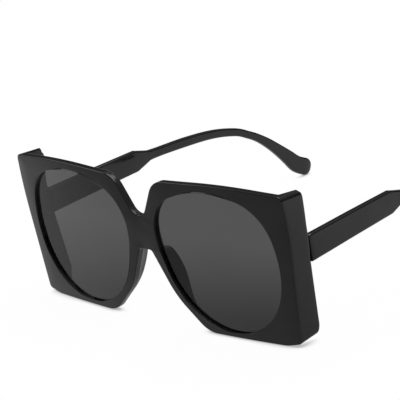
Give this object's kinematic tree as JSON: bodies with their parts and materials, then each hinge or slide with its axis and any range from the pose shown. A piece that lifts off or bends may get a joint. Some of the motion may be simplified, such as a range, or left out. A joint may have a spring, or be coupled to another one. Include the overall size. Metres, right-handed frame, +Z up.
{
  "type": "oversized sunglasses",
  "caption": "Oversized angular sunglasses with a moulded front, deep side panels, smoke lenses in grooves and slim temples that fold on screw hinges.",
  "frame": {"origin": "on the surface that the open sunglasses stand on, in the middle plane, midway from the front to the tips of the temples", "axes": "+X to the wearer's left, +Y from the front back to the tips of the temples, +Z up"},
  "size_m": [0.1514, 0.1538, 0.0596],
  "materials": {
    "frame_black": "gloss",
    "lens_smoke": "smoke tint, gloss",
    "hinge_steel": "black coat, satin"
  },
  "bodies": {
    "front": {"front_frame": "frame_black", "left_lens": "lens_smoke", "right_lens": "lens_smoke", "left_front_hinge": "hinge_steel", "right_front_hinge": "hinge_steel", "front_leaf_screws": "hinge_steel", "left_pivot_screw": "hinge_steel", "right_pivot_screw": "hinge_steel"},
    "left_temple": {"left_temple": "frame_black", "left_temple_hinge": "hinge_steel", "left_temple_leaf_screws": "hinge_steel"},
    "right_temple": {"right_temple": "frame_black", "right_temple_hinge": "hinge_steel", "right_temple_leaf_screws": "hinge_steel"}
  },
  "joints": [
    {"name": "left_temple_fold", "type": "hinge", "parent": "front", "child": "left_temple", "pos_m": [0.0714, -0.06127, 0.0352], "axis": [0, 0, 1], "range_deg": [0, 88]},
    {"name": "right_temple_fold", "type": "hinge", "parent": "front", "child": "right_temple", "pos_m": [-0.0714, -0.06127, 0.0352], "axis": [0, 0, -1], "range_deg": [0, 81]}
  ]
}
